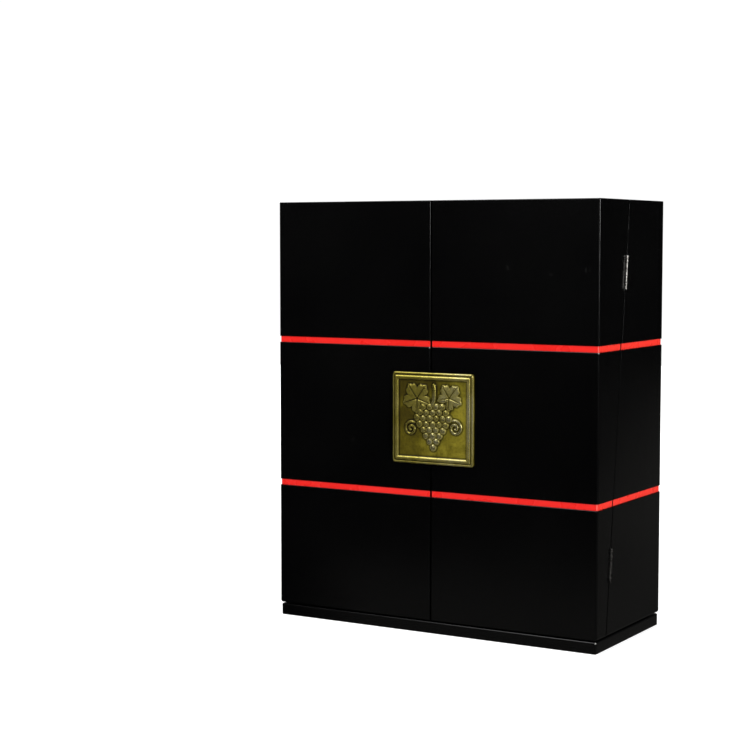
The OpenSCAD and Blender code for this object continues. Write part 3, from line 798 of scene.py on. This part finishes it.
# Neck rest with three notches
y0 = seam_y(REST_Z) + 4
out = [(-133.0, y0)]
for x in BAYS:
    e = 3.0
    out += [(x - 17 - e, y0), (x - 17 - e * 0.3, y0 + e * 0.3), (x - 17, y0 + e)]
    out += [(x + 17 * math.cos(math.radians(a)), BOTTLE_Y + 17 * math.sin(math.radians(a))) for a in range(180, -1, -6)]
    out += [(x + 17, y0 + e), (x + 17 + e * 0.3, y0 + e * 0.3), (x + 17 + e, y0)]
out += [(133.0, y0), (133.0, IN_B - LIN), (-133.0, IN_B - LIN)]
bm = plate(out, [], 8.0, 1.2, 4)
for v in bm.verts:
    v.co.z += REST_Z
finish_mesh("neck_rest_wrapped", bm, "case", ("neck_rest",), VELOUR, angle=45)

# ---------------------------------------------------------------- hinges
def to_world(zc, v1, v2, w):
    ya = seam_y(zc)
    return (HW + AXIS_OUT + v1, ya + v2 * COS + w * SIN, zc - v2 * SIN + w * COS)


def leaf(name, zc, is_door, body, node_name, mirror):
    m = -1 if is_door else 1
    k = HINGE_L / 5
    a0, a1 = LEAF_GAP / 2, LEAF_GAP / 2 + LEAF_T
    n = 28

    def ring(w, full, shrink=0.0, end=0.0):
        R = BARREL_R - shrink
        t0 = math.degrees(math.asin(a0 / R))
        t1 = math.degrees(math.asin(a1 / R))
        lw = LEAF_W - end
        pts = [(-lw, a0)]
        if full:
            # From the plate's inner face round under the barrel to its outer face
            for i in range(n + 1):
                a = math.radians(180 - t0 + (360 - (180 - t0) + 180 - t1) * i / n)
                pts.append((R * math.cos(a), R * math.sin(a)))
        else:
            for i in range(n + 1):
                pts.append((-BARREL_R - 0.35, a0 + (a1 - a0) * i / n))
        pts.append((-lw, a1))
        return [to_world(zc, x, m * y, w) for x, y in pts]

    own = (1, 3) if is_door else (0, 2, 4)
    rings = []
    half = HINGE_L / 2
    for i in range(5):
        lo, hi = -half + i * k, -half + (i + 1) * k
        ends = [0.8 if abs(abs(w) - half) < 1e-6 else 0.0 for w in (lo, hi)]
        if i in own:
            rings += [ring(lo + 0.08, True, 0.14, ends[0]), ring(lo + 0.2, True, 0.0, ends[0] * 0.3), ring(hi - 0.2, True, 0.0, ends[1] * 0.3), ring(hi - 0.08, True, 0.14, ends[1])]
        else:
            rings += [ring(lo + 0.0, False, 0, ends[0]), ring(lo + 0.3, False, 0, ends[0] * 0.2), ring(hi - 0.3, False, 0, ends[1] * 0.2), ring(hi - 0.0, False, 0, ends[1])]
    bm = bmesh.new()
    tower(bm, rings)
    # Countersunk screw holes
    holes = bmesh.new()
    for s in (-1, 1):
        tower(holes, [[to_world(zc, -LEAF_W / 2 - 0.9 + r * math.cos(2 * math.pi * i / 32), m * (LEAF_GAP / 2 + d), s * HINGE_L * 0.33 + r * math.sin(2 * math.pi * i / 32)) for i in range(32)]
                      for r, d in ((1.76, -0.06), (0.88, LEAF_T - 0.06), (0.88, LEAF_T + 0.1))])
    bm = carve(bm, holes)
    return finish_mesh(name, bm, body, (node_name,), NICKEL, mirror=mirror, angle=35)


def screw_head(bm, zc, w, m, r=1.6):
    """A small countersunk head with a cross recess, flush with a leaf's face."""
    v1 = -LEAF_W / 2 - 0.9
    s, l = 0.22, 0.95
    cross = [(s, l), (s, s), (l, s), (l, -s), (s, -s), (s, -l), (-s, -l), (-s, -s), (-l, -s), (-l, s), (-s, s), (-s, l)]
    n = 24
    face = LEAF_GAP / 2 + 0.03
    outer = [(r * math.cos(2 * math.pi * (i + 0.5) / n), r * math.sin(2 * math.pi * (i + 0.5) / n)) for i in range(n)]
    bevel = [(x * 0.93, y * 0.93) for x, y in outer]
    put = lambda x, y, h: to_world(zc, v1 + x, m * (face + h), w + y)
    # Outer wall, eased rim, flat top with the recess, recess walls and its floor
    ring0 = [bm.verts.new(put(x * 0.56, y * 0.56, 0.74)) for x, y in outer]
    ring1 = [bm.verts.new(put(x, y, 0.06)) for x, y in outer]
    ring2 = [bm.verts.new(put(x, y, 0.0)) for x, y in bevel]
    c0 = [bm.verts.new(put(x, y, 0.0)) for x, y in cross]
    c1 = [bm.verts.new(put(x * 0.7, y * 0.7, 0.42)) for x, y in cross]
    for a, b in ((ring0, ring1), (ring1, ring2), (c0, c1)):
        q = len(a)
        for i in range(q):
            j = (i + 1) % q
            bm.faces.new((a[i], a[j], b[j], b[i]))
    bm.faces.new(c1)
    bm.faces.new(ring0)
    edges = [bm.edges.get((ring2[i], ring2[(i + 1) % n])) for i in range(n)] + [bm.edges.get((c0[i], c0[(i + 1) % 12])) for i in range(12)]
    bmesh.ops.triangle_fill(bm, use_beauty=True, use_dissolve=False, edges=edges)


def pin(bm, zc, mx):
    rings = []
    half = HINGE_L / 2 - 0.1
    for r, w in ((0.25, -half - 0.06), (0.6, -half), (PIN_R - 0.02, -half + 0.25), (PIN_R - 0.02, half - 0.25), (0.6, half), (0.25, half + 0.06)):
        ring = []
        for i in range(24):
            a = 2 * math.pi * i / 24
            x, y, z = to_world(zc, r * math.cos(a), r * math.sin(a), w)
            ring.append((mx * x, y, z))
        rings.append(ring)
    tower(bm, rings)


for side, mirror in (("right", False), ("left", True)):
    for which, zc in (("upper", HINGES[1]), ("lower", HINGES[0])):
        leaf(f"{side}_{which}_hinge_case_leaf", zc, False, "case", f"{side}_{which}_case_leaf", mirror)
        leaf(f"{side}_{which}_hinge_door_leaf", zc, True, f"{side}_door", f"{side}_{which}_door_leaf", mirror)
    bm = bmesh.new()
    for zc in HINGES:
        for s in (-1, 1):
            screw_head(bm, zc, s * HINGE_L * 0.33, -1)
    finish_mesh(f"{side}_door_screw_heads", bm, f"{side}_door", (f"{side}_hinge_screws",), ZINC, mirror=mirror, angle=30)

bm = bmesh.new()
for mx in (1, -1):
    sub = bmesh.new()
    for zc in HINGES:
        for s in (-1, 1):
            screw_head(sub, zc, s * HINGE_L * 0.33, 1)
    for v in sub.verts:
        v.co.x *= mx
    me = bpy.data.meshes.new("tmp")
    sub.to_mesh(me)
    sub.free()
    bm.from_mesh(me)
    bpy.data.meshes.remove(me)
finish_mesh("case_screw_heads", bm, "case", ("case_hinge_screws",), ZINC, angle=30)
bm = bmesh.new()
for mx in (1, -1):
    for zc in HINGES:
        pin(bm, zc, mx)
finish_mesh("hinge_pins_turned", bm, "case", ("hinge_pins",), NICKEL)

# ---------------------------------------------------------------- badge
def build_badge():
    W = BADGE_W
    N = 170                    # cells along one side of the field
    FRAME = 6.6                # width of the moulding
    inner = W - 2 * FRAME
    # (inset from the outline, height over the back plane, how rubbed, how grimy and dark with painted shade)
    prof = [(0.0, 0.3, 0.0, 0.6), (0.0, 0.75, 0.0, 0.4), (0.06, 1.15, 0.3, 0.0), (0.2, 1.55, 0.7, 0), (0.42, 1.9, 1.0, 0), (0.72, 2.15, 1.0, 0), (1.05, 2.25, 0.9, 0), (1.4, 2.18, 0.8, 0), (1.68, 1.95, 0.5, 0.1),
            (1.88, 1.65, 0.1, 0.6), (2.1, 1.45, 0.0, 1.0), (2.32, 1.5, 0.0, 1.0), (2.46, 1.8, 0.2, 0.5), (2.58, 2.2, 0.6, 0), (2.8, 2.65, 1.0, 0), (3.1, 3.02, 1.0, 0), (3.5, 3.3, 1.0, 0), (4.0, 3.43, 0.85, 0),
            (4.5, 3.4, 0.85, 0), (5.0, 3.16, 1.0, 0), (5.4, 2.8, 1.0, 0), (5.66, 2.4, 0.7, 0), (5.82, 2.0, 0.2, 0.5), (5.93, 1.68, 0.0, 1.0), (6.15, 1.5, 0.0, 1.0), (6.6, 1.53, 0.0, 0.4)]
    bm = bmesh.new()
    rub = bm.verts.layers.float.new("rub")
    grime_and_shade = bm.verts.layers.float.new("grime_and_shade")

    def outline(ins):
        """Points round the square at an inset: N cells to a side, corners rounded."""
        half = W / 2 - ins
        r = max(0.0, 2.4 - ins * 0.62) if ins < 6.5 else 0.0
        pts = []
        K = 5
        gh = inner / 2
        for q in range(4):
            ang = math.radians(90 * q)
            ca, sa = math.cos(ang), math.sin(ang)
            side = []
            for i in range(N + 1):
                t = -gh + inner * i / N          # same spacing as the field's cells
                t = t * (half - r) / gh
                side.append((t, -half))
            corner = [(half - r + r * math.sin(math.radians(90 * i / K)), -half + r - r * math.cos(math.radians(90 * i / K))) for i in range(1, K)]
            for x, y in side + corner:
                pts.append((x * ca - y * sa, x * sa + y * ca))
        return pts

    def wob(u, v, s=0.09):
        return 0.03 * noise.noise(Vector((u * s, v * s, 3.1))) + 0.022 * noise.noise(Vector((u * s * 4, v * s * 4, 7.7)))

    rows = []
    for ins, h, k, g in prof:
        row = []
        for u, v in outline(ins):
            hh = h + (wob(u, v) if h > 1.2 else 0.0)
            y = -HD - hh
            if h < 0.5:
                y = -HD - (0.3 if BADGE_X + u < 0.3 else 0.0)
            vt = bm.verts.new((BADGE_X + u, y, BADGE_Z + v))
            vt[rub] = k
            vt[grime_and_shade] = g
            row.append(vt)
        rows.append(row)
    n = len(rows[0])
    for a, b in zip(rows, rows[1:]):
        for i in range(n):
            j = (i + 1) % n
            bm.faces.new((a[i], a[j], b[j], b[i]))
    bm.faces.new(rows[0][::-1])

    # The field: beaten ground with a bunch of grapes, two vine leaves and tendrils
    grapes = []
    rnd = random.Random(11)
    for row, cnt in enumerate((4, 5, 6, 5, 4, 3, 2, 1)):
        for i in range(cnt):
            gx = (i - (cnt - 1) / 2) * 5.7 + rnd.uniform(-0.35, 0.35) + 0.6
            gy = 9.2 - row * 4.55 + rnd.uniform(-0.3, 0.3)
            grapes.append((gx, gy, 3.25 + rnd.uniform(-0.2, 0.25), 0.15 + 0.55 * (1 - abs(i - (cnt - 1) / 2) / 3.2) + rnd.uniform(-0.08, 0.08)))

    def vine_leaf(u, v, cx, cy, turn, R):
        """Height of a five-lobed leaf with sunk veins over the ground, or 0 outside it."""
        lx, ly = u - cx, v - cy
        r = math.hypot(lx, ly)
        if r > R * 1.1:
            return 0.0
        a = math.atan2(ly, lx) - math.radians(turn)
        a = (a + math.pi) % (2 * math.pi) - math.pi
        edge = R * (0.66 + 0.27 * abs(math.cos(2.5 * a)) ** 0.9 + 0.06 * math.cos(a) + 0.035 * math.cos(15 * a))
        edge *= 1 - 0.4 * math.exp(-((abs(a) - math.pi) / 0.28) ** 2)
        if r > edge:
            return 0.0
        k = 1 - r / edge
        h = min(1.0, k * 8) ** 0.5 * (0.95 + 0.4 * math.sin(math.pi * min(1.0, r / edge)))
        h += 0.16 * math.cos(5 * a) * (r / R)
        for q in (-144, -72, 0, 72, 144):
            b = a - math.radians(q)
            side = abs(r * math.sin(b))
            w = 0.62 + 0.3 * k
            if math.cos(b) > 0 and side < w and r < edge * 0.92:
                h -= 0.6 * (1 - side / w)
        return max(0.0, h)

    def near_line(u, v, line, w):
        best = 1e9
        for (x0, y0), (x1, y1) in zip(line, line[1:]):
            dx, dy = x1 - x0, y1 - y0
            q = max(0.0, min(1.0, ((u - x0) * dx + (v - y0) * dy) / (dx * dx + dy * dy + 1e-9)))
            best = min(best, math.hypot(u - x0 - q * dx, v - y0 - q * dy))
        return max(0.0, 1 - (best / w) ** 2) ** 0.5 if best < w else 0.0

    def curl(cx, cy, a0, sweep, r0, r1, n=44):
        return [(cx + (r0 + (r1 - r0) * i / n) * math.cos(math.radians(a0 + sweep * i / n)), cy + (r0 + (r1 - r0) * i / n) * math.sin(math.radians(a0 + sweep * i / n))) for i in range(n + 1)]

    tendrils = [curl(20.2, -6.5, 110, -560, 6.2, 1.0), curl(-19.0, -8.5, 60, 540, 5.8, 1.0)]
    stalk = [(0.4 + 1.5 * math.sin(t / 9 * 2.4), 10.5 + t * 1.75) for t in range(10)]

    def relief(u, v):
        add = max(vine_leaf(u, v, -13.4, 15.4, 126, 13.6), vine_leaf(u, v, 15.0, 16.8, 50, 11.8))
        for line, cx, cy in ((tendrils[0], 20.2, -6.5), (tendrils[1], -19.0, -8.5)):
            if math.hypot(u - cx, v - cy) < 8:
                add = max(add, 1.15 * near_line(u, v, line, 1.0))
        if abs(u - 1) < 5 and 8 < v < 28:
            add = max(add, 1.6 * near_line(u, v, stalk, 1.5))
        for gx, gy, gr, lift in grapes:
            q = math.hypot(u - gx, v - gy)
            if q < gr:
                add = max(add, (math.sqrt(gr * gr - q * q) - gr * 0.3) * 0.68 + lift * 0.35)
        return add

    def ground(u, v):
        return 1.53 + 0.09 * noise.noise(Vector((u * 0.16, v * 0.16, 1.3))) + 0.075 * noise.noise(Vector((u * 0.42, v * 0.42, 5.3))) + 0.045 * noise.noise(Vector((u * 1.1, v * 1.1, 9.1)))

    step = inner / N
    M = N + 1
    rel = [[relief(-inner / 2 + i * step, -inner / 2 + j * step) for i in range(M)] for j in range(M)]

    def blur(src, k):
        out = []
        for row in src:
            acc = [0.0]
            for x in row:
                acc.append(acc[-1] + x)
            out.append([(acc[min(M, i + k + 1)] - acc[max(0, i - k)]) / (min(M, i + k + 1) - max(0, i - k)) for i in range(M)])
        return [list(c) for c in zip(*out)]

    soft = blur(blur(rel, 4), 4)
    edge = rows[-1]
    per = N + 1 + 4
    grid = {}
    for q in range(4):
        for i in range(N + 1):
            vt = edge[q * per + i]
            u, v = vt.co.x - BADGE_X, vt.co.z - BADGE_Z
            key = (round((u + inner / 2) / step), round((v + inner / 2) / step))
            grid.setdefault(key, vt)
    for j in range(M):
        for i in range(M):
            if (i, j) in grid:
                continue
            u, v = -inner / 2 + i * step, -inner / 2 + j * step
            add = rel[j][i]
            h = ground(u, v) + add
            e = min(i, j, N - i, N - j) / 3
            if e < 1:
                h = 1.53 + (h - 1.53) * e
            vt = bm.verts.new((BADGE_X + u, -HD - min(h, 3.45), BADGE_Z + v))
            # Dirt and painted shade in the hollows round the relief and along the field's border
            d = add - soft[j][i]
            vt[rub] = max(0.0, min(1.0, 0.1 + add * 0.5 + d * 1.1))
            vt[grime_and_shade] = max(0.0, min(1.0, -d * 3.6)) + (0.35 * (1 - e) if e < 1 else 0.0)
            grid[(i, j)] = vt
    for j in range(N):
        for i in range(N):
            bm.faces.new((grid[(i, j)], grid[(i + 1, j)], grid[(i + 1, j + 1)], grid[(i, j + 1)]))
    return finish_mesh("badge_casting", bm, "right_door", ("badge",), BRASS, angle=60, weighted=False)


build_badge()

# ---------------------------------------------------------------- materials on the CAD nodes that show
for name, mat in (("case_magnets", ZINC), ("left_door_magnets", ZINC), ("right_door_magnets", ZINC), ("badge_screws", ZINC),
                  ("case_dowels", BEECH), ("left_door_dowels", BEECH), ("right_door_dowels", BEECH)):
    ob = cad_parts[name]
    ob.data.materials.clear()
    ob.data.materials.append(mat)

# ---------------------------------------------------------------- studio
def stage_mesh(name, verts, faces, mat):
    me = bpy.data.meshes.new(name)
    me.from_pydata(verts, [], faces)
    me.materials.append(mat)
    ob = bpy.data.objects.new(name, me)
    bpy.context.scene.collection.objects.link(ob)
    return ob


def disc(r, n=96, z=0.0):
    return [(r * math.cos(2 * math.pi * i / n), r * math.sin(2 * math.pi * i / n), z) for i in range(n)], [list(range(n))]


m, nt, b = material("white_floor")
co = nt.nodes.new("ShaderNodeTexCoord").outputs["Object"]
fn = noise_tex(nt, co, 3.0, 2.0, 0.5)
c = ramp(nt, fn.outputs["Fac"], [(0.3, (0.9, 0.9, 0.9)), (0.7, (0.92, 0.92, 0.92))])
nt.links.new(c.outputs["Color"], b.inputs["Base Color"])
ln = nt.nodes.new("ShaderNodeVectorMath")
ln.operation = "LENGTH"
nt.links.new(co, ln.inputs[0])
far = map_range(nt, ln.outputs["Value"], 0.5, 1.6, 0.46, 1.06)
b.inputs["Emission Color"].default_value = (1, 1, 1, 1)
nt.links.new(far.outputs[0], b.inputs["Emission Strength"])
b.inputs["Roughness"].default_value = 0.9
b.inputs["Specular IOR Level"].default_value = 0.1
floor = stage_mesh("studio_floor", *disc(3.0), m)
floor.visible_glossy = False

# What the lacquer mirrors of the table: a weak glow near the box, which only reflections see
m, nt, b = material("table_glow")
nt.nodes.remove(b)
co = nt.nodes.new("ShaderNodeTexCoord").outputs["Object"]
sx = nt.nodes.new("ShaderNodeSeparateXYZ")
nt.links.new(co, sx.inputs[0])
# In front: bright for the first few hundred millimetres, then falling off
fr = map_range(nt, sx.outputs["Y"], -0.55, -0.1, 0.0, 1.0)
fr.interpolation_type = "SMOOTHSTEP"
# To the right and behind: reaches further
rt = map_range(nt, sx.outputs["Y"], 0.0, 0.5, 0.0, 1.0)
rt.interpolation_type = "SMOOTHSTEP"
rx = map_range(nt, sx.outputs["X"], 0.12, 0.2, 0.0, 1.0)
front = math_node(nt, "MULTIPLY", fr.outputs[0], 0.08)
# A dark screen stands off to the left: the glow ends along a slanting line
slant = math_node(nt, "DIVIDE", math_node(nt, "SUBTRACT", sx.outputs["X"], 0.661), math_node(nt, "SUBTRACT", sx.outputs["Y"], 1.123))
screen = map_range(nt, slant, 0.6, 0.672, 1.0, 0.05)
screen.interpolation_type = "SMOOTHSTEP"
front = math_node(nt, "MULTIPLY", front, screen.outputs[0])
front = math_node(nt, "MULTIPLY", front, map_range(nt, sx.outputs["X"], 0.12, 0.16, 1.0, 0.6).outputs[0])
mask = math_node(nt, "MULTIPLY", rt.outputs[0], rx.outputs[0])
right = math_node(nt, "MULTIPLY", mask, 0.054)
front = math_node(nt, "MULTIPLY", front, math_node(nt, "SUBTRACT", 1.0, mask))
ln = nt.nodes.new("ShaderNodeVectorMath")
ln.operation = "LENGTH"
nt.links.new(co, ln.inputs[0])
right = math_node(nt, "MULTIPLY", right, map_range(nt, ln.outputs["Value"], 0.25, 0.75, 0.68, 1.0).outputs[0])
# On the right the table is lit further out, and more, towards its back
back = math_node(nt, "DIVIDE", math_node(nt, "ADD", sx.outputs["Y"], 1.247), math_node(nt, "ADD", sx.outputs["X"], 0.377))
right = math_node(nt, "MULTIPLY", right, map_range(nt, back, 2.28, 2.52, 0.92, 1.28).outputs[0])
reach = math_node(nt, "SUBTRACT", map_range(nt, back, 2.28, 2.52, 1.75, 0.62).outputs[0], 1.0)
reach = math_node(nt, "ADD", math_node(nt, "MULTIPLY", mask, reach), 1.0)
fade = map_range(nt, math_node(nt, "MULTIPLY", ln.outputs["Value"], reach), 0.75, 2.4, 1.0, 0.1)
fade.interpolation_type = "SMOOTHSTEP"
em = nt.nodes.new("ShaderNodeEmission")
em.inputs["Color"].default_value = (1.0, 0.98, 0.92, 1)
nt.links.new(math_node(nt, "MULTIPLY", math_node(nt, "ADD", front, right), fade.outputs[0]), em.inputs["Strength"])
nt.links.new(em.outputs[0], nt.nodes["Material Output"].inputs["Surface"])
glow = stage_mesh("table_reflection", *disc(2.9, z=-0.001), m)
for attr in ("visible_camera", "visible_diffuse", "visible_transmission", "visible_shadow", "visible_volume_scatter"):
    setattr(glow, attr, False)

world = bpy.data.worlds.new("studio")
bpy.context.scene.world = world
world.use_nodes = True
wn = world.node_tree
out = wn.nodes["World Output"]
wn.nodes.remove(wn.nodes["Background"])
lp = wn.nodes.new("ShaderNodeLightPath")


def background(level):
    g = wn.nodes.new("ShaderNodeBackground")
    g.inputs["Color"].default_value = (1, 1, 1, 1)
    g.inputs["Strength"].default_value = level
    return g.outputs[0]


# Mirrored surroundings: a dark room that lifts a little above the horizon
wc = wn.nodes.new("ShaderNodeTexCoord").outputs["Generated"]
ws = wn.nodes.new("ShaderNodeSeparateXYZ")
wn.links.new(wc, ws.inputs[0])
up = map_range(wn, ws.outputs["Z"], 0.0, 0.25, 0.0, 1.0)
up.interpolation_type = "SMOOTHSTEP"
ahead = map_range(wn, ws.outputs["Y"], 0.1, -0.8, 0.25, 1.0)
side = map_range(wn, ws.outputs["X"], -0.46, -0.39, 0.25, 7.0)
side.interpolation_type = "SMOOTHSTEP"
past = map_range(wn, ws.outputs["X"], -0.37, -0.24, 1.0, 0.12)
lift = math_node(wn, "MULTIPLY", math_node(wn, "MULTIPLY", up.outputs[0], ahead.outputs[0]), math_node(wn, "MULTIPLY", side.outputs[0], past.outputs[0]))
lift = math_node(wn, "ADD", math_node(wn, "MULTIPLY", lift, 0.09), 0.004)
room = wn.nodes.new("ShaderNodeBackground")
room.inputs["Color"].default_value = (1, 1, 1, 1)
wn.links.new(lift, room.inputs["Strength"])
mg = wn.nodes.new("ShaderNodeMixShader")
wn.links.new(lp.outputs["Is Glossy Ray"], mg.inputs[0])
wn.links.new(background(0.75), mg.inputs[1])
wn.links.new(room.outputs[0], mg.inputs[2])
mx = wn.nodes.new("ShaderNodeMixShader")
wn.links.new(lp.outputs["Is Camera Ray"], mx.inputs[0])
wn.links.new(mg.outputs[0], mx.inputs[1])
wn.links.new(background(1.04), mx.inputs[2])
wn.links.new(mx.outputs[0], out.inputs["Surface"])


def softbox(name, az, el, dist, w, h, radiance, color=(1, 1, 1)):
    """A rectangular light aimed at the box. Azimuth 0 is in front of it and 90 to its right."""
    a, e = math.radians(az), math.radians(el)
    loc = Vector((math.sin(a) * math.cos(e), -math.cos(a) * math.cos(e), math.sin(e))) * dist + Vector((0, 0, 0.17))
    li = bpy.data.lights.new(name, "AREA")
    li.shape = "RECTANGLE"
    li.size, li.size_y = w, h
    li.energy = radiance * math.pi * w * h
    li.color = color
    ob = bpy.data.objects.new(name, li)
    ob.location = loc
    ob.rotation_euler = (Vector((0, 0, 0.17)) - loc).to_track_quat("-Z", "Y").to_euler()
    bpy.context.scene.collection.objects.link(ob)
    return ob


softbox("key", -25, 43, 1.9, 0.65, 0.8, 4.5)
softbox("right_strip", 68, 15, 1.9, 0.5, 0.7, 14.0)
softbox("overhead", 0, 85, 2.0, 1.8, 1.2, 1.2)
softbox("top_left", -66, 60, 1.9, 0.8, 0.7, 3.8)
softbox("camera_side", 8, 12, 2.2, 0.5, 0.75, 0.7)

cam = bpy.data.cameras.new("camera")
cam.sensor_width = 36.0
cam.lens = 83.774
cam.clip_start = 0.05
cam.clip_end = 50.0
co = bpy.data.objects.new("camera", cam)
co.location = (0.66127, -1.24721, 0.30768)
co.rotation_euler = (math.radians(85.647), 0, math.radians(30.993))
bpy.context.scene.collection.objects.link(co)
bpy.context.scene.camera = co
bpy.context.scene.view_settings.view_transform = "Standard"
bpy.context.scene.view_settings.look = "None"
